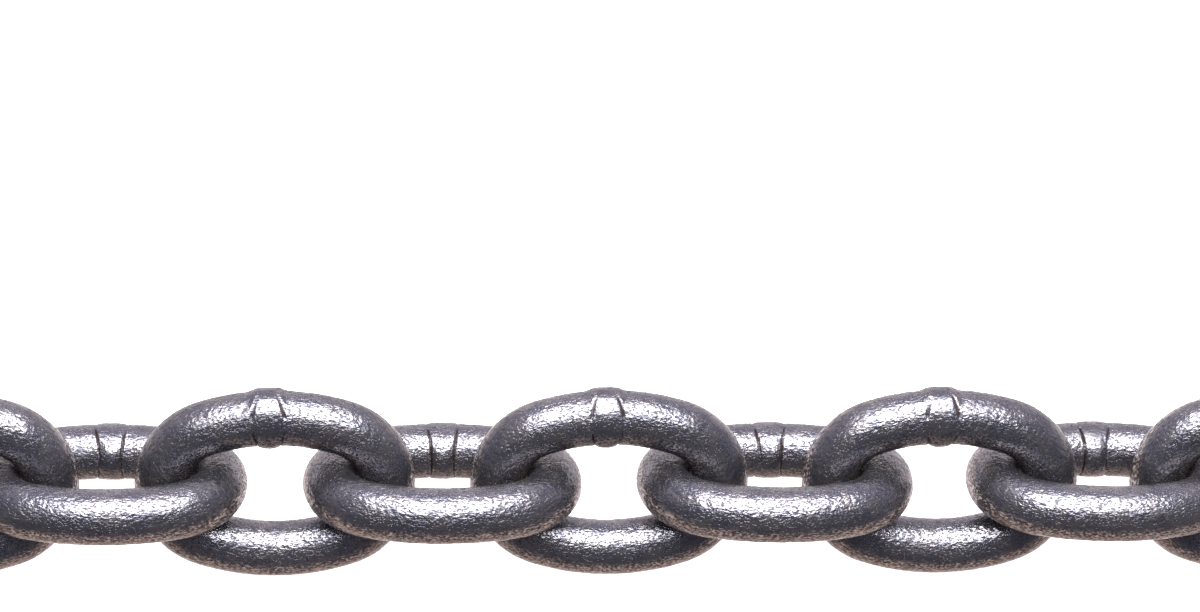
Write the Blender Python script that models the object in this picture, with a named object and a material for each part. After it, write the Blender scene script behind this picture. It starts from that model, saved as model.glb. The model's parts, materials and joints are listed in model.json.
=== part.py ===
"""A foot of welded steel chain, pulled straight and lying on a level floor.

Ten round-wire links hang in one another, each turned nearly square to the
last. Every other link leans back and stands on its plain side. The links
between lean forward and stand on the collar of their weld.

Metres, +Z up. The run lies along X. Its origin is on the floor, under the
middle of its length and of its width.
"""
import math

import bmesh
import bpy
from mathutils import Matrix

# The wire and the link that is bent from it
LINK_COUNT = 10
WIRE_DIAMETER = 0.0100
INSIDE_LENGTH = 0.0305
INSIDE_WIDTH = 0.0157
CROWN_RADIUS = 0.0114
WELD_SIDE_RADIUS = 0.0400

# Free play where one link's wire lies in the next link's crown
RUNNING_GAP = 0.0003

# The collar that is pressed up round the butt weld, halfway along one side
COLLAR_TOP_LENGTH = 0.0044
COLLAR_FOOT_LENGTH = 0.0076
COLLAR_RISE_OUTWARD = 0.0006
COLLAR_RISE_INWARD = 0.0006
COLLAR_RISE_SIDEWAYS = 0.00025

# The links that stand on their plain side lean back by this much
BACKWARD_LEAN = math.radians(45.0)
FLATTEST_FORWARD_LEAN = math.radians(30.0)

# Faceting: one flat of the section faces straight down at the backward lean
SECTION_SIDES = 12
CROWN_CHORDS = 5
PLAIN_SIDE_CHORDS = 5

STEEL_COLOUR = (0.115, 0.120, 0.145, 1.0)
STEEL_ROUGHNESS = 0.36

# What follows from the dimensions above
WIRE_RADIUS = WIRE_DIAMETER / 2
PITCH = INSIDE_LENGTH - RUNNING_GAP
CROWN_CENTRE = INSIDE_LENGTH / 2 + WIRE_RADIUS - CROWN_RADIUS
WIDTH_BETWEEN_CENTRES = INSIDE_WIDTH + WIRE_DIAMETER
HINGE_INSET = INSIDE_LENGTH / 2 - RUNNING_GAP - WIRE_RADIUS


def clear_scene():
    """Remove every object of the open scene."""
    for thing in list(bpy.data.objects):
        bpy.data.objects.remove(thing, do_unlink=True)


def side_height(side_radius):
    """Distance from the chain's axis to a side arc that runs smoothly into both crowns."""
    return side_radius - math.sqrt((side_radius - CROWN_RADIUS) ** 2 - CROWN_CENTRE ** 2)


def side_radius_for(height):
    """Radius of the side arc that runs smoothly into both crowns at this height."""
    rise = height ** 2 + CROWN_CENTRE ** 2 - CROWN_RADIUS ** 2
    return rise / (2 * (height - CROWN_RADIUS))


def arc(centre, radius, start, stop, chords):
    """Stations along an arc, without its last point: place, outward angle, share of the collar."""
    stations = []
    for step in range(chords):
        angle = start + (stop - start) * step / chords
        x = centre[0] + radius * math.cos(angle)
        y = centre[1] + radius * math.sin(angle)
        stations.append((x, y, angle, 0.0))
    return stations


def welded_side(centre, radius, half_turn):
    """Stations along the welded side, with the collar's foot and top on either side of the middle."""
    foot = COLLAR_FOOT_LENGTH / 2 / radius
    top = COLLAR_TOP_LENGTH / 2 / radius
    stations = []
    for turn, collar in ((-half_turn, 0.0), (-foot, 0.0), (-top, 1.0), (top, 1.0), (foot, 0.0)):
        angle = math.pi / 2 + turn
        x = centre[0] + radius * math.cos(angle)
        y = centre[1] + radius * math.sin(angle)
        stations.append((x, y, angle, collar))
    return stations


def wire_stations():
    """Stations once round the link, from the +X crown over the welded side and the -X crown."""
    weld_height = side_height(WELD_SIDE_RADIUS)
    plain_height = WIDTH_BETWEEN_CENTRES - weld_height
    plain_radius = side_radius_for(plain_height)
    weld_turn = math.atan2(CROWN_CENTRE, WELD_SIDE_RADIUS - weld_height)
    plain_turn = math.atan2(CROWN_CENTRE, plain_radius - plain_height)
    quarter = math.pi / 2
    front = (CROWN_CENTRE, 0.0)
    back = (-CROWN_CENTRE, 0.0)
    weld_centre = (0.0, weld_height - WELD_SIDE_RADIUS)
    plain_centre = (0.0, plain_radius - plain_height)

    stations = arc(front, CROWN_RADIUS, 0.0, quarter - weld_turn, CROWN_CHORDS)
    stations += welded_side(weld_centre, WELD_SIDE_RADIUS, weld_turn)
    stations += arc(back, CROWN_RADIUS, quarter + weld_turn, 2 * quarter, CROWN_CHORDS)
    stations += arc(back, CROWN_RADIUS, 2 * quarter, 3 * quarter - plain_turn, CROWN_CHORDS)
    stations += arc(plain_centre, plain_radius, 3 * quarter - plain_turn,
                    3 * quarter + plain_turn, PLAIN_SIDE_CHORDS)
    stations += arc(front, CROWN_RADIUS, 3 * quarter + plain_turn, 4 * quarter, CROWN_CHORDS)
    return stations


def section_radius(turn, collar):
    """Radius of the wire's section, turn being measured from the outward direction."""
    outward = math.cos(turn)
    rise = COLLAR_RISE_OUTWARD if outward > 0 else COLLAR_RISE_INWARD
    swell = rise * abs(outward) + COLLAR_RISE_SIDEWAYS * abs(math.sin(turn))
    return WIRE_RADIUS + collar * swell


def link_mesh():
    """One link, centred on its hinge: the middle of the wire that lies in its -X crown."""
    model = bmesh.new()
    rings = []
    for x, y, angle, collar in wire_stations():
        ring = []
        for side in range(SECTION_SIDES):
            turn = 2 * math.pi * side / SECTION_SIDES
            radius = section_radius(turn, collar)
            reach = radius * math.cos(turn)
            place = (x + reach * math.cos(angle), y + reach * math.sin(angle), radius * math.sin(turn))
            ring.append(model.verts.new(place))
        rings.append(ring)
    for number, ring in enumerate(rings):
        following = rings[(number + 1) % len(rings)]
        for side in range(SECTION_SIDES):
            across = (side + 1) % SECTION_SIDES
            model.faces.new((ring[side], ring[across], following[across], following[side]))
    bmesh.ops.recalc_face_normals(model, faces=model.faces)
    bmesh.ops.translate(model, verts=model.verts, vec=(HINGE_INSET, 0.0, 0.0))

    mesh = bpy.data.meshes.new("chain_link")
    model.to_mesh(mesh)
    model.free()
    mesh.shade_smooth()
    return mesh


def leaned_extents(mesh, lean):
    """Lowest and highest Y and Z of the link when it leans about the chain's axis."""
    leaned = [Matrix.Rotation(lean, 3, "X") @ vertex.co for vertex in mesh.vertices]
    across = [point.y for point in leaned]
    upward = [point.z for point in leaned]
    return (min(across), max(across)), (min(upward), max(upward))


def forward_lean(mesh, axis_height):
    """The lean at which the collar just reaches the floor, found by halving."""
    flat = FLATTEST_FORWARD_LEAN
    steep = BACKWARD_LEAN
    for _ in range(40):
        middle = (flat + steep) / 2
        (_, _), (lowest, _) = leaned_extents(mesh, -middle)
        if -lowest > axis_height:
            steep = middle
        else:
            flat = middle
    return -flat


def steel():
    """Dark heat-treated steel with a thin film of oil."""
    material = bpy.data.materials.new("dark_steel")
    material.use_nodes = True
    surface = material.node_tree.nodes["Principled BSDF"]
    surface.inputs["Base Color"].default_value = STEEL_COLOUR
    surface.inputs["Metallic"].default_value = 1.0
    surface.inputs["Roughness"].default_value = STEEL_ROUGHNESS
    return material


def build_chain():
    """Hang each link in the one before it, so that it swings about its parent's own Y axis."""
    mesh = link_mesh()
    mesh.materials.append(steel())

    back_across, (back_lowest, _) = leaned_extents(mesh, BACKWARD_LEAN)
    axis_height = -back_lowest
    lean_between = forward_lean(mesh, axis_height)
    front_across, _ = leaned_extents(mesh, lean_between)
    axis_y = -(min(back_across + front_across) + max(back_across + front_across)) / 2
    first_hinge_x = -(LINK_COUNT - 1) * PITCH / 2 - HINGE_INSET

    leans = (BACKWARD_LEAN, lean_between)
    previous = None
    for number in range(LINK_COUNT):
        link = bpy.data.objects.new(f"link_{number + 1:02d}", mesh)
        bpy.context.scene.collection.objects.link(link)
        lean = leans[number % 2]
        if previous is None:
            link.location = (first_hinge_x, axis_y, axis_height)
            link.rotation_euler = (lean, 0.0, 0.0)
        else:
            link.parent = previous
            link.location = (PITCH, 0.0, 0.0)
            link.rotation_euler = (lean - leans[(number - 1) % 2], 0.0, 0.0)
        previous = link


clear_scene()
build_chain()
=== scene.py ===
"""Finish, light and camera for a foot of welded steel chain lying on a white floor.

Each link is swept by Geometry Nodes from the line through the middle of its wire. The
nodes then press up the collar round the weld, cut its trimming marks and hammer the skin.
"""
import json
import logging
import math
from dataclasses import dataclass, field
from enum import Enum

import bpy
from mathutils import Matrix, Vector

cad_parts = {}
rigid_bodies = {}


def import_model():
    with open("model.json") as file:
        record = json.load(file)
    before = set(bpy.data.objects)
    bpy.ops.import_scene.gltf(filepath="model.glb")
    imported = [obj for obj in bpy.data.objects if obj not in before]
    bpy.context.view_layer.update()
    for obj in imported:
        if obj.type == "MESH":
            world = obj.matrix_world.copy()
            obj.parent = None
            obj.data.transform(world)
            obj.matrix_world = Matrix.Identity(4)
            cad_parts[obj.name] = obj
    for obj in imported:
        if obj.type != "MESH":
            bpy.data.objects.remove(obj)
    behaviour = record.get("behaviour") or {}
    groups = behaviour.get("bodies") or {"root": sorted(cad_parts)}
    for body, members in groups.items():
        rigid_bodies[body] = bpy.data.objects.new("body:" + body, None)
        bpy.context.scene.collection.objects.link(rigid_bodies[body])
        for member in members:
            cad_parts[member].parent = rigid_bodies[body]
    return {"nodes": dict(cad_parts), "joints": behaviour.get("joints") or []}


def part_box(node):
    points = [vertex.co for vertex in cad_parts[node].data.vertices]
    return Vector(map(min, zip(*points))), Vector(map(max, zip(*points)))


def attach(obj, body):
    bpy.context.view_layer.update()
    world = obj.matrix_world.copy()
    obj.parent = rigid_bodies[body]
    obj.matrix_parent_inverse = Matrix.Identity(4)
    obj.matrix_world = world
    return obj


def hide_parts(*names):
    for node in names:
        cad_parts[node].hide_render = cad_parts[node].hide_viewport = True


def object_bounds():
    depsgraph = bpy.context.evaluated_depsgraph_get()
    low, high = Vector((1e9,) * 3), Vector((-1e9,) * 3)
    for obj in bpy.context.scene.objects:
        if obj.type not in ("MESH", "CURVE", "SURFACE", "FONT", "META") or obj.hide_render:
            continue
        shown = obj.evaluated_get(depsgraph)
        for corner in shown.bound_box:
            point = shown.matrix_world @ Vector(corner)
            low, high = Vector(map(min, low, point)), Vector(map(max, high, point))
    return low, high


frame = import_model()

log = logging.getLogger("chain")
CAD_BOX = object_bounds()

MM = 0.001
QUARTER = math.pi / 2
Colour = tuple[float, float, float, float]
Value = bpy.types.NodeSocket | float | int | tuple | Vector


class Lay(Enum):
    """Which way a link leans as the run lies on the floor."""

    BACK = "back"
    FORWARD = "forward"


class Sketch:
    """Adds nodes to one node tree and joins them."""

    def __init__(self, tree: bpy.types.NodeTree) -> None:
        """Start on a tree.

        Args:
            tree: A geometry or shader tree.
        """
        self.tree = tree

    def add(self, kind: str, **settings: object) -> bpy.types.Node:
        """Add one node.

        Args:
            kind: Blender's name of the node type.
            settings: Properties to set on the node.

        Returns:
            The new node.
        """
        node = self.tree.nodes.new(kind)
        for name, setting in settings.items():
            setattr(node, name, setting)
        return node

    def feed(self, socket: bpy.types.NodeSocket, value: Value) -> None:
        """Give an input a fixed value, or join it to an output.

        Args:
            socket: The input.
            value: A number or vector, or another node's output.
        """
        if isinstance(value, bpy.types.NodeSocket):
            self.tree.links.new(value, socket)
        else:
            socket.default_value = value

    def math(self, operation: str, first: Value, second: Value = 0.0,
             third: Value = 0.0) -> bpy.types.NodeSocket:
        """Work out one number from up to three.

        Args:
            operation: Name of the operation on the Math node.
            first: First number.
            second: Second number, where the operation has one.
            third: Third number, where the operation has one.

        Returns:
            The result.
        """
        node = self.add("ShaderNodeMath", operation=operation)
        for socket, value in zip(node.inputs, (first, second, third)):
            self.feed(socket, value)
        return node.outputs[0]

    def vector(self, operation: str, first: Value, second: Value = (0.0, 0.0, 0.0)) -> bpy.types.NodeSocket:
        """Work out a vector from up to two.

        Args:
            operation: Name of the operation on the Vector Math node.
            first: First vector.
            second: Second vector, or the factor where the operation is SCALE.

        Returns:
            The vector, or the number where the operation gives one.
        """
        node = self.add("ShaderNodeVectorMath", operation=operation)
        self.feed(node.inputs[0], first)
        self.feed(node.inputs["Scale"] if operation == "SCALE" else node.inputs[1], second)
        gives_number = operation in {"LENGTH", "DOT_PRODUCT", "DISTANCE"}
        return node.outputs["Value" if gives_number else "Vector"]

    def split(self, vector: Value) -> tuple[bpy.types.NodeSocket, ...]:
        """Give a vector's X, Y and Z."""
        node = self.add("ShaderNodeSeparateXYZ")
        self.feed(node.inputs[0], vector)
        return tuple(node.outputs)

    def join(self, x: Value, y: Value, z: Value) -> bpy.types.NodeSocket:
        """Make a vector of three numbers."""
        node = self.add("ShaderNodeCombineXYZ")
        for socket, value in zip(node.inputs, (x, y, z)):
            self.feed(socket, value)
        return node.outputs[0]

    def ramp(self, value: Value, low: float, high: float, start: float = 0.0, end: float = 1.0,
             smooth: bool = True) -> bpy.types.NodeSocket:
        """Map a number from one range to another, held at both ends.

        Args:
            value: The number.
            low: Where the first range begins.
            high: Where the first range ends.
            start: Result at low.
            end: Result at high.
            smooth: Ease in and out rather than run straight.

        Returns:
            The mapped number.
        """
        node = self.add("ShaderNodeMapRange", interpolation_type="SMOOTHSTEP" if smooth else "LINEAR")
        for socket, number in zip(node.inputs, (value, low, high, start, end)):
            self.feed(socket, number)
        return node.outputs[0]

    def mix(self, share: Value, first: Value, second: Value) -> bpy.types.NodeSocket:
        """Mix two colours by the share of the second."""
        node = self.add("ShaderNodeMix", data_type="RGBA")
        for number, value in ((0, share), (6, first), (7, second)):
            self.feed(node.inputs[number], value)
        return node.outputs[2]

    def noise(self, place: Value, per_metre: float, seed: Value = 0.0, detail: float = 2.0,
              roughness: float = 0.5) -> bpy.types.NodeSocket:
        """Give smooth noise between 0 and 1, averaging one half.

        Args:
            place: Where it is read.
            per_metre: Number of swells in a metre.
            seed: Picks another pattern of the same kind.
            detail: Number of finer layers.
            roughness: Strength of the finer layers.

        Returns:
            The noise.
        """
        node = self.add("ShaderNodeTexNoise", noise_dimensions="4D")
        wanted = {"Vector": place, "W": seed, "Scale": per_metre, "Detail": detail, "Roughness": roughness}
        for name, value in wanted.items():
            self.feed(node.inputs[name], value)
        return node.outputs["Fac"]


@dataclass
class LinkShape:
    """The line through the middle of a link's wire, in the link's own plane."""

    wire_radius: float = 5.0 * MM
    inside_length: float = 30.5 * MM
    inside_width: float = 15.7 * MM
    crown_radius: float = 11.4 * MM
    weld_side_radius: float = 40.0 * MM
    fine_reach: float = 5.2 * MM
    fine_step: float = 0.16 * MM
    step: float = 0.30 * MM

    @property
    def crown_centre(self) -> float:
        """Distance from the link's middle to the centre of each crown's arc."""
        return self.inside_length / 2 + self.wire_radius - self.crown_radius

    @property
    def hinge_reach(self) -> float:
        """Distance from the link's middle to the wire on which the next link swings."""
        return self.inside_length / 2 + self.wire_radius

    @property
    def weld_height(self) -> float:
        """Distance from the chain's axis to the middle of the welded side."""
        outer = self.weld_side_radius - self.crown_radius
        return self.weld_side_radius - math.sqrt(outer ** 2 - self.crown_centre ** 2)

    @property
    def plain_height(self) -> float:
        """Distance from the chain's axis to the middle of the plain side."""
        return self.inside_width + 2 * self.wire_radius - self.weld_height

    @property
    def plain_side_radius(self) -> float:
        """Radius of the plain side's arc, which runs smoothly into both crowns."""
        rise = self.plain_height ** 2 + self.crown_centre ** 2 - self.crown_radius ** 2
        return rise / (2 * (self.plain_height - self.crown_radius))

    def arc(self, centre: tuple[float, float], radius: float, start: float, stop: float) -> list[Vector]:
        """Points along an arc, without its last one.

        Args:
            centre: Centre of the arc.
            radius: Its radius.
            start: Angle at which it begins.
            stop: Angle at which it ends.

        Returns:
            The points, a step apart.
        """
        count = max(2, round(abs(stop - start) * radius / self.step))
        angles = [start + (stop - start) * number / count for number in range(count)]
        return [Vector((centre[0] + radius * math.cos(a), centre[1] + radius * math.sin(a), 0)) for a in angles]

    def welded_side(self, turn: float) -> list[Vector]:
        """Points along the welded side, closer together where the collar is.

        Args:
            turn: Half the angle that the side's arc covers.

        Returns:
            The points, without the last one.
        """
        radius = self.weld_side_radius
        centre = (0.0, self.weld_height - radius)
        fine_turn = self.fine_reach / radius
        fine = LinkShape(step=self.fine_step)
        points = self.arc(centre, radius, QUARTER - turn, QUARTER - fine_turn)
        points += fine.arc(centre, radius, QUARTER - fine_turn, QUARTER + fine_turn)
        return points + self.arc(centre, radius, QUARTER + fine_turn, QUARTER + turn)

    def centreline(self) -> list[Vector]:
        """Points once round the link, anticlockwise from the +X crown."""
        plain_radius = self.plain_side_radius
        weld_turn = math.atan2(self.crown_centre, self.weld_side_radius - self.weld_height)
        plain_turn = math.atan2(self.crown_centre, plain_radius - self.plain_height)
        front = (self.crown_centre, 0.0)
        back = (-self.crown_centre, 0.0)
        plain_centre = (0.0, plain_radius - self.plain_height)
        points = self.arc(front, self.crown_radius, 0.0, QUARTER - weld_turn)
        points += self.welded_side(weld_turn)
        points += self.arc(back, self.crown_radius, QUARTER + weld_turn, 3 * QUARTER - plain_turn)
        points += self.arc(plain_centre, plain_radius, 3 * QUARTER - plain_turn, 3 * QUARTER + plain_turn)
        return points + self.arc(front, self.crown_radius, 3 * QUARTER + plain_turn, 4 * QUARTER)


@dataclass
class LinkTree:
    """The Geometry Nodes tree that makes one finished link from its centreline."""

    sides: int = 112
    band: float = 2.9 * MM
    band_outward_pull: float = 1.5 * MM
    band_inward_pull: float = 0.6 * MM
    foot_outward: float = 3.6 * MM
    foot_inward: float = 3.1 * MM
    crest_outward: float = 1.5 * MM
    crest_inward: float = 0.4 * MM
    rise_outward: float = 0.60 * MM
    rise_inward: float = 0.60 * MM
    rise_sideways: float = 0.08 * MM
    mark_width: float = 0.20 * MM
    mark_depth: float = 0.30 * MM
    mark_wander: float = 0.22 * MM
    dent_depth: float = 0.12 * MM
    pebble_depth: float = 0.14 * MM
    grain_stretch: float = 0.6
    tree: bpy.types.NodeTree = field(init=False)

    INPUTS = (
        ("Wire Radius", "NodeSocketFloat"),
        ("Weld Place", "NodeSocketFloat"),
        ("Seed", "NodeSocketFloat"),
        ("Lean", "NodeSocketVector"),
        ("Middle", "NodeSocketVector"),
        ("Steel", "NodeSocketMaterial"),
    )

    def __post_init__(self) -> None:
        """Build the tree."""
        self.tree = bpy.data.node_groups.new("swept_link", "GeometryNodeTree")
        face = self.tree.interface
        face.new_socket("Centreline", in_out="INPUT", socket_type="NodeSocketGeometry")
        for name, kind in self.INPUTS:
            face.new_socket(name, in_out="INPUT", socket_type=kind)
        face.new_socket("Link", in_out="OUTPUT", socket_type="NodeSocketGeometry")
        self.draw()

    def socket_name(self, name: str) -> str:
        """Give the identifier of a named input."""
        return next(item.identifier for item in self.tree.interface.items_tree if item.name == name)

    def draw(self) -> None:
        """Place and join the nodes."""
        sketch = Sketch(self.tree)
        given = sketch.add("NodeGroupInput").outputs
        swept, spine, tangent, length = self.sweep(sketch, given)
        place = sketch.add("GeometryNodeInputPosition").outputs[0]
        ray = sketch.vector("NORMALIZE", sketch.vector("SUBTRACT", place, spine))
        outward = sketch.vector("NORMALIZE", sketch.vector("CROSS_PRODUCT", tangent, (0.0, 0.0, 1.0)))
        facing = sketch.vector("DOT_PRODUCT", ray, outward)
        collar, marks, band = self.weld(sketch, given, spine, ray, facing)
        calm = sketch.math("SUBTRACT", 1.0, sketch.math("MULTIPLY", band, 0.6))
        relief = sketch.math("MULTIPLY", self.relief(sketch, place, given["Seed"]), calm)
        cut = sketch.math("MULTIPLY", marks, self.mark_depth)
        height = sketch.math("SUBTRACT", sketch.math("ADD", collar, relief), cut)

        shaped = sketch.add("GeometryNodeSetPosition")
        sketch.feed(shaped.inputs["Geometry"], swept)
        sketch.feed(shaped.inputs["Offset"], sketch.vector("SCALE", ray, height))
        _, _, upward = sketch.split(ray)
        across = sketch.math("MULTIPLY", facing, given["Wire Radius"])
        level = sketch.math("MULTIPLY", upward, given["Wire Radius"])
        along = sketch.math("ADD", sketch.math("MULTIPLY", length, self.grain_stretch), given["Seed"])
        marked = self.store(sketch, shaped.outputs[0], "weld_mark", marks)
        marked = self.store(sketch, marked, "weld_band", band)
        marked = self.store(sketch, marked, "wire_place", sketch.join(along, across, level), "FLOAT_VECTOR")
        placed = sketch.add("GeometryNodeTransform")
        sketch.feed(placed.inputs["Geometry"], marked)
        sketch.feed(placed.inputs["Rotation"], given["Lean"])
        sketch.feed(placed.inputs["Translation"], given["Middle"])
        _, _, skyward = sketch.split(sketch.add("GeometryNodeInputNormal").outputs[0])
        # Mask of the downward-facing skin, for the material: the rust-brown pits and light flecks there are partly
        # rust and partly a painted reflection of the warm floor on the lower rims.
        rust_and_floor_reflection = self.store(sketch, placed.outputs[0], "rust_and_floor_reflection", sketch.ramp(skyward, 0.58, 0.32))
        smooth = sketch.add("GeometryNodeSetShadeSmooth")
        sketch.feed(smooth.inputs["Geometry"], rust_and_floor_reflection)
        real = sketch.add("GeometryNodeRealizeInstances")
        sketch.feed(real.inputs["Geometry"], smooth.outputs[0])
        dressed = sketch.add("GeometryNodeSetMaterial")
        sketch.feed(dressed.inputs["Geometry"], real.outputs[0])
        sketch.feed(dressed.inputs["Material"], given["Steel"])
        result = sketch.add("NodeGroupOutput")
        sketch.feed(result.inputs["Link"], dressed.outputs[0])

    @staticmethod
    def store(sketch: Sketch, mesh: Value, name: str, value: Value,
              kind: str = "FLOAT") -> bpy.types.NodeSocket:
        """Keep a value at each point of the mesh, for the material to read.

        Args:
            sketch: The tree's sketch.
            mesh: The mesh.
            name: Name of the attribute.
            value: What it holds.
            kind: Blender's name of the attribute's type.

        Returns:
            The mesh with the attribute.
        """
        stored = sketch.add("GeometryNodeStoreNamedAttribute", data_type=kind, domain="POINT")
        for socket, given in (("Geometry", mesh), ("Name", name), ("Value", value)):
            sketch.feed(stored.inputs[socket], given)
        return stored.outputs[0]

    def sweep(self, sketch: Sketch, given: bpy.types.NodeOutputs) -> tuple[bpy.types.NodeSocket, ...]:
        """Sweep the round section along the centreline.

        Args:
            sketch: The tree's sketch.
            given: The tree's inputs.

        Returns:
            The swept mesh, and at each of its points the centreline's place, tangent and length.
        """
        line = sketch.add("GeometryNodeMeshToCurve")
        sketch.feed(line.inputs[0], given["Centreline"])
        upright = sketch.add("GeometryNodeSetCurveNormal", mode="Z_UP")
        sketch.feed(upright.inputs["Curve"], line.outputs[0])
        keep = sketch.add("GeometryNodeCaptureAttribute", domain="POINT")
        keep.capture_items.new("VECTOR", "Spine")
        keep.capture_items.new("VECTOR", "Tangent")
        keep.capture_items.new("FLOAT", "Length")
        sketch.feed(keep.inputs["Geometry"], upright.outputs[0])
        sketch.feed(keep.inputs["Spine"], sketch.add("GeometryNodeInputPosition").outputs[0])
        sketch.feed(keep.inputs["Tangent"], sketch.add("GeometryNodeInputTangent").outputs[0])
        sketch.feed(keep.inputs["Length"], sketch.add("GeometryNodeSplineParameter").outputs["Length"])
        section = sketch.add("GeometryNodeCurvePrimitiveCircle")
        section.inputs["Resolution"].default_value = self.sides
        sketch.feed(section.inputs["Radius"], given["Wire Radius"])
        swept = sketch.add("GeometryNodeCurveToMesh")
        sketch.feed(swept.inputs["Curve"], keep.outputs["Geometry"])
        sketch.feed(swept.inputs["Profile Curve"], section.outputs["Curve"])
        return swept.outputs[0], keep.outputs["Spine"], keep.outputs["Tangent"], keep.outputs["Length"]

    def weld(self, sketch: Sketch, given: bpy.types.NodeOutputs, spine: Value, ray: Value,
             facing: Value) -> tuple[bpy.types.NodeSocket, ...]:
        """Raise the collar round the weld, and bound the band that was trimmed after welding.

        Args:
            sketch: The tree's sketch.
            given: The tree's inputs.
            spine: Place on the centreline.
            ray: Direction from the centreline to the skin.
            facing: 1 where the skin faces out of the link, -1 where it faces into it.

        Returns:
            Height of the collar, strength of the trimming marks, and 1 on the trimmed band.
        """
        along, across, _ = sketch.split(spine)
        _, _, upward = sketch.split(ray)
        on_side = sketch.math("GREATER_THAN", across, 0.0)
        outer = sketch.math("MAXIMUM", facing, 0.0)
        inner = sketch.math("MAXIMUM", sketch.math("MULTIPLY", facing, -1.0), 0.0)
        pull = sketch.math("MULTIPLY", sketch.math("POWER", outer, 3.0), self.band_outward_pull)
        pull = sketch.math("ADD", pull, sketch.math("MULTIPLY", inner, self.band_inward_pull))
        reach = sketch.math("SUBTRACT", self.band, pull)

        distance = sketch.math("SUBTRACT", along, given["Weld Place"])
        span = sketch.math("ABSOLUTE", distance)
        foot = sketch.ramp(facing, -1.0, 1.0, self.foot_inward, self.foot_outward, smooth=False)
        crest = sketch.ramp(facing, -1.0, 1.0, self.crest_inward, self.crest_outward, smooth=False)
        swell = sketch.ramp(span, crest, foot, 1.0, 0.0)
        rise = sketch.math("MULTIPLY", sketch.math("POWER", outer, 2.0), self.rise_outward)
        rise_inside = sketch.math("MULTIPLY", sketch.math("POWER", inner, 2.2), self.rise_inward)
        rise = sketch.math("ADD", rise, rise_inside)
        rise = sketch.math("ADD", rise, sketch.math("MULTIPLY", sketch.math("ABSOLUTE", upward), self.rise_sideways))
        collar = sketch.math("MULTIPLY", sketch.math("MULTIPLY", swell, rise), on_side)

        seam = sketch.vector("SCALE", ray, self.band)
        marks: Value = 0.0
        for end in (-1.0, 1.0):
            seed = sketch.math("ADD", given["Seed"], 40.0 + end)
            wander = sketch.math("SUBTRACT", sketch.noise(seam, 330.0, seed, detail=1.0), 0.5)
            home = sketch.math("ADD", reach, sketch.math("MULTIPLY", wander, 2 * self.mark_wander))
            home = sketch.math("MULTIPLY", home, end)
            offset = sketch.math("DIVIDE", sketch.math("SUBTRACT", distance, home), self.mark_width)
            notch = sketch.math("EXPONENT", sketch.math("MULTIPLY", sketch.math("POWER", offset, 2.0), -1.0))
            leaning = sketch.ramp(sketch.math("MULTIPLY", facing, end), -0.7, 0.7, 0.8, 1.0)
            worn = sketch.ramp(sketch.noise(seam, 520.0, seed, detail=1.0), 0.32, 0.56, 0.35, 1.0)
            strength = sketch.math("MULTIPLY", leaning, worn)
            marks = sketch.math("ADD", marks, sketch.math("MULTIPLY", notch, strength))
        fading = sketch.ramp(outer, 0.86, 0.99, 1.0, 0.0)
        off_flank = sketch.math("ABSOLUTE", sketch.math("SUBTRACT", facing, 0.12))
        marks = sketch.math("MULTIPLY", marks, sketch.ramp(off_flank, 0.12, 0.36, 0.1, 1.0))
        marks = sketch.math("MULTIPLY", marks, fading)
        marks = sketch.math("MULTIPLY", marks, on_side)
        band = sketch.ramp(sketch.math("SUBTRACT", span, reach), -0.25 * MM, 0.05 * MM, 1.0, 0.0)
        smooth = sketch.ramp(facing, 0.25, 0.5, 0.4, 1.0)
        band = sketch.math("MULTIPLY", sketch.math("MULTIPLY", band, smooth), on_side)
        return collar, marks, band

    def relief(self, sketch: Sketch, place: Value, seed: Value) -> bpy.types.NodeSocket:
        """Hammer the skin with shallow dents and finer pebbling.

        Args:
            sketch: The tree's sketch.
            place: Place on the skin.
            seed: Picks the link's own pattern.

        Returns:
            Height above or below the plain wire.
        """
        dents = sketch.noise(place, 420.0, seed, detail=1.0)
        pebbles = sketch.noise(place, 1250.0, seed, detail=1.0)
        low = sketch.math("MULTIPLY", sketch.math("SUBTRACT", dents, 0.5), self.dent_depth)
        return sketch.math("ADD", low, sketch.math("MULTIPLY", sketch.math("SUBTRACT", pebbles, 0.5),
                                                   self.pebble_depth))


class ShaderGroups:
    """Shader node groups that the steel is made of."""

    def __init__(self) -> None:
        """Build each group once."""
        self.grain = self.make_grain()

    def make_grain(self) -> bpy.types.NodeTree:
        """Fine pitted grain: its height, and where its pits lie."""
        tree = bpy.data.node_groups.new("pitted_grain", "ShaderNodeTree")
        face = tree.interface
        face.new_socket("Place", in_out="INPUT", socket_type="NodeSocketVector")
        face.new_socket("Grains Per Metre", in_out="INPUT", socket_type="NodeSocketFloat")
        face.new_socket("Calm", in_out="INPUT", socket_type="NodeSocketFloat")
        face.new_socket("Height", in_out="OUTPUT", socket_type="NodeSocketFloat")
        face.new_socket("Pits", in_out="OUTPUT", socket_type="NodeSocketFloat")
        face.new_socket("Flecks", in_out="OUTPUT", socket_type="NodeSocketFloat")
        sketch = Sketch(tree)
        given = sketch.add("NodeGroupInput").outputs
        finer = sketch.math("MULTIPLY", given["Grains Per Metre"], 1.9)
        grain = sketch.noise(given["Place"], given["Grains Per Metre"], 0.0, 1.0, 0.5)
        specks = sketch.noise(given["Place"], finer, 7.0, 1.0, 0.5)
        strength = sketch.math("SUBTRACT", 1.0, sketch.math("MULTIPLY", given["Calm"], 0.55))
        pits = sketch.ramp(specks, 0.46, 0.36)
        flecks = sketch.math("MULTIPLY", sketch.ramp(specks, 0.53, 0.61), strength)
        height = sketch.math("ADD", grain, sketch.math("MULTIPLY", specks, 0.4))
        height = sketch.math("SUBTRACT", height, sketch.math("MULTIPLY", pits, 0.2))
        height = sketch.math("MULTIPLY", height, strength)
        result = sketch.add("NodeGroupOutput")
        sketch.feed(result.inputs["Height"], height)
        sketch.feed(result.inputs["Pits"], pits)
        sketch.feed(result.inputs["Flecks"], flecks)
        return tree


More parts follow.
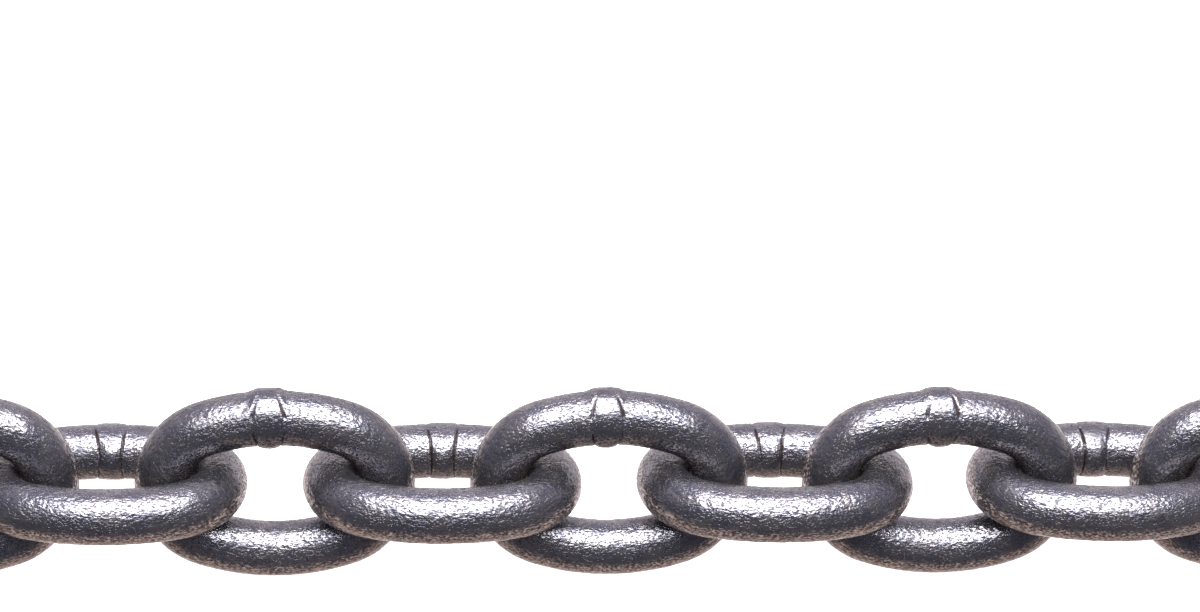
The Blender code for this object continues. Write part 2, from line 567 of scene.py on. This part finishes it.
@dataclass(frozen=True)
class DarkSteel:
    """Heat-treated steel: dark blue-grey under oil, with brown mill tint in its grain; on the skin that faces down,
    its pits turn brown and light flecks gather, partly rust and partly a painted reflection of the warm floor.
    """

    clean: Colour = (0.138, 0.134, 0.144, 1.0)
    deep: Colour = (0.096, 0.098, 0.118, 1.0)
    pit: Colour = (0.046, 0.042, 0.048, 1.0)
    # Brown of the pits on the downward-facing skin: partly rust, partly a painted reflection of the warm floor.
    rust_and_reflection_brown: Colour = (0.046, 0.032, 0.025, 1.0)
    # Light brown flecks: a few everywhere, many more on the downward-facing skin, where they are partly a painted
    # reflection of the warm floor.
    fleck: Colour = (0.42, 0.35, 0.31, 1.0)
    dirt: Colour = (0.022, 0.013, 0.009, 1.0)
    metallic: float = 0.92
    # Metallic of the flecks on the downward-facing skin, which are partly rust and partly a painted reflection of
    # the warm floor.
    rust_and_reflection_metallic: float = 0.35
    roughness: float = 0.20
    dull_roughness: float = 0.50
    grains_per_metre: float = 1750.0
    grain_height: float = 0.145 * MM

    def make(self, groups: ShaderGroups) -> bpy.types.Material:
        """Build the material.

        Args:
            groups: The shared shader groups.

        Returns:
            The material.
        """
        material = bpy.data.materials.new("dark_steel_skin")
        material.use_nodes = True
        sketch = Sketch(material.node_tree)
        surface = material.node_tree.nodes["Principled BSDF"]
        place = sketch.add("ShaderNodeTexCoord").outputs["Object"]
        mark = sketch.add("ShaderNodeAttribute", attribute_name="weld_mark").outputs["Fac"]
        band = sketch.add("ShaderNodeAttribute", attribute_name="weld_band").outputs["Fac"]
        grain = sketch.add("ShaderNodeGroup", node_tree=groups.grain)
        wire_place = sketch.add("ShaderNodeAttribute", attribute_name="wire_place").outputs["Vector"]
        sketch.feed(grain.inputs["Place"], wire_place)
        sketch.feed(grain.inputs["Calm"], band)
        grain.inputs["Grains Per Metre"].default_value = self.grains_per_metre

        patches = sketch.ramp(sketch.noise(place, 150.0, 3.0, 3.0, 0.6), 0.40, 0.66)
        browned = sketch.math("MAXIMUM", sketch.math("MULTIPLY", patches, 0.35), grain.outputs["Pits"])
        mottled = sketch.ramp(sketch.noise(wire_place, 520.0, 9.0, 2.0, 0.6), 0.38, 0.62)
        colour = sketch.mix(mottled, self.clean, self.deep)
        # Downward-facing skin, weaker on the link's inner side: brown pits and light flecks there are partly rust
        # and partly a painted reflection of the warm floor on the lower rims.
        rust_and_floor_reflection = sketch.add("ShaderNodeAttribute", attribute_name="rust_and_floor_reflection").outputs["Fac"]
        _, across, _ = sketch.split(wire_place)
        rust_and_floor_reflection = sketch.math("MULTIPLY", rust_and_floor_reflection, sketch.ramp(across, -2.5 * MM, 0.5 * MM, 0.35, 1.0))
        colour = sketch.mix(sketch.math("MULTIPLY", browned, 0.85), colour,
                            sketch.mix(rust_and_floor_reflection, self.pit, self.rust_and_reflection_brown))
        # Light, less metallic flecks on the downward-facing skin: partly rust, partly a painted reflection of the
        # warm floor.
        rust_and_reflection_flecks = sketch.math("MULTIPLY", grain.outputs["Flecks"], rust_and_floor_reflection)
        flecked = sketch.math("ADD", sketch.math("MULTIPLY", grain.outputs["Flecks"], 0.10), rust_and_reflection_flecks)
        colour = sketch.mix(flecked, colour, self.fleck)
        colour = sketch.mix(sketch.ramp(mark, 0.15, 0.75), colour, self.dirt)
        sketch.feed(surface.inputs["Base Color"], colour)
        dull = sketch.math("MAXIMUM", browned, sketch.math("MULTIPLY", mark, 1.2))
        rough = sketch.ramp(dull, 0.0, 1.0, self.roughness, self.dull_roughness, smooth=False)
        sketch.feed(surface.inputs["Roughness"], rough)
        sketch.feed(surface.inputs["Metallic"], sketch.ramp(rust_and_reflection_flecks, 0.0, 1.0, self.metallic, self.rust_and_reflection_metallic, smooth=False))

        bump = sketch.add("ShaderNodeBump")
        bump.inputs["Strength"].default_value = 1.0
        bump.inputs["Distance"].default_value = self.grain_height
        sketch.feed(bump.inputs["Height"], grain.outputs["Height"])
        sketch.feed(surface.inputs["Normal"], bump.outputs[0])
        return material


@dataclass
class Link:
    """One link of the run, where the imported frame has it."""

    number: int
    node: str
    lay: Lay
    lean: float
    middle: Vector


@dataclass
class Run:
    """The whole run of links."""

    shape: LinkShape
    tree: LinkTree
    steel: bpy.types.Material
    weld_shift: dict[Lay, float] = field(default_factory=lambda: {Lay.BACK: -0.9 * MM, Lay.FORWARD: 0.1 * MM})
    weld_scatter: float = 0.2 * MM
    links: list[Link] = field(default_factory=list)

    def read_frame(self) -> None:
        """Find each link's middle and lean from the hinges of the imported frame."""
        hinges = {joint["parent"]: joint for joint in frame["joints"]}
        leans: list[float] = []
        for number, node in enumerate(sorted(frame["nodes"])):
            low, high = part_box(node)
            if node in hinges:
                axis = Vector(hinges[node]["axis"])
                axis *= math.copysign(1.0, axis.y)
                leans.append(math.atan2(axis.z, axis.y))
                hinge = Vector(hinges[node]["pos_m"])
            else:
                leans.append(leans[number - 2])
            middle = Vector(((low.x + high.x) / 2, hinge.y, hinge.z))
            lay = Lay.BACK if leans[number] > 0 else Lay.FORWARD
            self.links.append(Link(number, node, lay, leans[number], middle))

    def centreline(self) -> bpy.types.Mesh:
        """Make the closed line that every link is swept along."""
        points = self.shape.centreline()
        edges = [(number, (number + 1) % len(points)) for number in range(len(points))]
        line = bpy.data.meshes.new("wire_centreline")
        line.from_pydata(points, edges, [])
        return line

    def build(self) -> None:
        """Sweep each link and let it stand for its CAD node."""
        line = self.centreline()
        for link in self.links:
            piece = self.sweep(link, line)
            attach(piece, link.node)
            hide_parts(link.node)
            log.info("%s leans %s, %d faces", piece.name, link.lay.value, len(piece.data.polygons))

    def sweep(self, link: Link, line: bpy.types.Mesh) -> bpy.types.Object:
        """Run the tree for one link and keep its result as a plain mesh.

        Args:
            link: The link.
            line: The centreline that it is swept along.

        Returns:
            The finished piece.
        """
        source = bpy.data.objects.new("sweep_source", line)
        bpy.context.scene.collection.objects.link(source)
        nodes = source.modifiers.new("sweep", "NODES")
        nodes.node_group = self.tree.tree
        scatter = self.weld_scatter * math.sin(2.4 * link.number)
        wanted = {
            "Wire Radius": self.shape.wire_radius,
            "Weld Place": self.weld_shift[link.lay] + scatter,
            "Seed": 3.1 * link.number,
            "Lean": (link.lean, 0.0, 0.0),
            "Middle": tuple(link.middle),
            "Steel": self.steel,
        }
        for name, value in wanted.items():
            nodes[self.tree.socket_name(name)] = value
        view = bpy.context.evaluated_depsgraph_get()
        mesh = bpy.data.meshes.new_from_object(source.evaluated_get(view))
        mesh.name = f"welded_{link.node}"
        source.modifiers.remove(nodes)
        bpy.data.objects.remove(source)
        piece = bpy.data.objects.new(mesh.name, mesh)
        bpy.context.scene.collection.objects.link(piece)
        return piece


@dataclass(frozen=True)
class SoftLight:
    """One soft light: where it hangs, how large it is and how bright it looks."""

    name: str
    elevation: float
    azimuth: float
    distance: float
    width: float
    height: float
    brightness: float
    colour: tuple[float, float, float]


@dataclass
class Studio:
    """White floor, one large soft light overhead, and the camera that looks down on the run."""

    frame_width: float = 1200.0
    frame_height: float = 612.0
    view_width: float = math.radians(17.0)
    pixels_per_mm: float = 5.512
    run_middle_x: float = 692.4
    axis_y: float = 482.2
    elevation: float = math.radians(69.0)
    azimuth: float = math.radians(-9.6)
    floor_size: float = 6.0
    lights: tuple[SoftLight, ...] = (
        SoftLight("overhead", math.radians(105.8), 0.0, 0.9, 0.82, 0.88, 18.0, (0.99, 0.985, 1.0)),
    )
    near_wall: Colour = (0.25, 0.245, 0.29, 1.0)
    far_wall: Colour = (1.28, 1.18, 1.45, 1.0)
    near_ground: Colour = (1.05, 0.80, 0.70, 1.0)
    far_ground: Colour = (1.62, 1.46, 1.50, 1.0)

    def camera(self, axis: Vector) -> None:
        """Place the camera so that the run lies in the frame as photographed.

        Args:
            axis: Middle of the run, on its axis.
        """
        focal = self.frame_width / 2 / math.tan(self.view_width / 2)
        distance = focal / self.pixels_per_mm * MM
        below = (self.axis_y - self.frame_height / 2) / focal
        rise = self.elevation - math.atan(below)
        back = Vector((math.sin(self.azimuth) * math.cos(rise), -math.cos(self.azimuth) * math.cos(rise),
                       math.sin(rise)))
        right = (Vector((1.0, 0.0, 0.0)) - back * back.x).normalized()
        up = back.cross(right)
        sideways = (self.frame_width / 2 - self.run_middle_x) / self.pixels_per_mm * MM
        place = axis + Vector((sideways, 0.0, 0.0)) + back * distance + up * below * distance

        data = bpy.data.cameras.new("camera")
        data.sensor_width = 36.0
        data.lens = data.sensor_width * focal / self.frame_width
        data.clip_start = distance / 10
        camera = bpy.data.objects.new("camera", data)
        camera.matrix_world = Matrix.Translation(place) @ Matrix((right, up, back)).transposed().to_4x4()
        bpy.context.scene.collection.objects.link(camera)
        bpy.context.scene.camera = camera

    def floor(self) -> None:
        """Lay a plain white floor."""
        half = self.floor_size / 2
        mesh = bpy.data.meshes.new("floor")
        corners = [(-half, -half, 0.0), (half, -half, 0.0), (half, half, 0.0), (-half, half, 0.0)]
        mesh.from_pydata(corners, [], [(0, 1, 2, 3)])
        floor = bpy.data.objects.new("floor", mesh)
        bpy.context.scene.collection.objects.link(floor)
        material = bpy.data.materials.new("white_floor")
        material.use_nodes = True
        white = material.node_tree.nodes["Principled BSDF"]
        white.inputs["Base Color"].default_value = (0.9, 0.9, 0.9, 1.0)
        white.inputs["Emission Color"].default_value = (1.0, 1.0, 1.0, 1.0)
        white.inputs["Emission Strength"].default_value = 1.1
        mesh.materials.append(material)
        floor.visible_glossy = False
        floor.visible_diffuse = False
        floor.visible_shadow = False

    def hang(self, light: SoftLight, target: Vector) -> None:
        """Hang one soft light that faces the run.

        Args:
            light: The light.
            target: What it faces.
        """
        data = bpy.data.lights.new(light.name, "AREA")
        data.shape = "RECTANGLE"
        data.size = light.width
        data.size_y = light.height
        data.energy = light.brightness * math.pi * light.width * light.height
        data.color = light.colour
        rise = math.cos(light.elevation)
        back = Vector((math.sin(light.azimuth) * rise, -math.cos(light.azimuth) * rise, math.sin(light.elevation)))
        right = Vector((math.cos(light.azimuth), math.sin(light.azimuth), 0.0))
        up = back.cross(right)
        turned = Matrix((right, up, back)).transposed().to_4x4()
        lamp = bpy.data.objects.new(light.name, data)
        lamp.matrix_world = Matrix.Translation(target + back * light.distance) @ turned
        lamp.visible_camera = False
        bpy.context.scene.collection.objects.link(lamp)

    def room(self) -> None:
        """Surround the run with a dim room, whose far side and ground are lighter.

        The camera itself sees it as pale.
        """
        world = bpy.data.worlds.new("room")
        bpy.context.scene.world = world
        world.use_nodes = True
        sketch = Sketch(world.node_tree)
        direction = sketch.add("ShaderNodeTexCoord").outputs["Generated"]
        _, away, height = sketch.split(direction)
        depth = sketch.math("POWER", sketch.ramp(away, -0.6, 1.0, smooth=False), 1.7)
        walls = sketch.mix(depth, self.near_wall, self.far_wall)
        ground = sketch.mix(sketch.ramp(away, -0.6, 0.5), self.near_ground, self.far_ground)
        lowered = sketch.math("SUBTRACT", height, sketch.math("MULTIPLY", away, 0.18))
        colour = sketch.mix(sketch.ramp(lowered, -0.02, -0.52), walls, ground)
        around = world.node_tree.nodes["Background"]
        sketch.feed(around.inputs["Color"], colour)
        pale = sketch.add("ShaderNodeBackground")
        pale.inputs["Color"].default_value = (0.95, 0.95, 0.95, 1.0)
        choice = sketch.add("ShaderNodeMixShader")
        sketch.feed(choice.inputs[0], sketch.add("ShaderNodeLightPath").outputs["Is Camera Ray"])
        sketch.feed(choice.inputs[1], around.outputs[0])
        sketch.feed(choice.inputs[2], pale.outputs[0])
        sketch.feed(world.node_tree.nodes["World Output"].inputs["Surface"], choice.outputs[0])

    def build(self) -> None:
        """Lay the floor, hang the lights and place the camera."""
        low, high = CAD_BOX
        axis = Vector(((low.x + high.x) / 2, frame["joints"][0]["pos_m"][1], frame["joints"][0]["pos_m"][2]))
        self.floor()
        for light in self.lights:
            self.hang(light, axis)
        self.room()
        self.camera(axis)
        bpy.context.scene.view_settings.view_transform = "Standard"
        log.info("studio built")


def main() -> None:
    """Build the links and the studio."""
    logging.basicConfig(level=logging.INFO, format="%(name)s: %(message)s")
    steel = DarkSteel().make(ShaderGroups())
    run = Run(LinkShape(), LinkTree(), steel)
    run.read_frame()
    run.build()
    Studio().build()


if __name__ == "__main__":
    main()
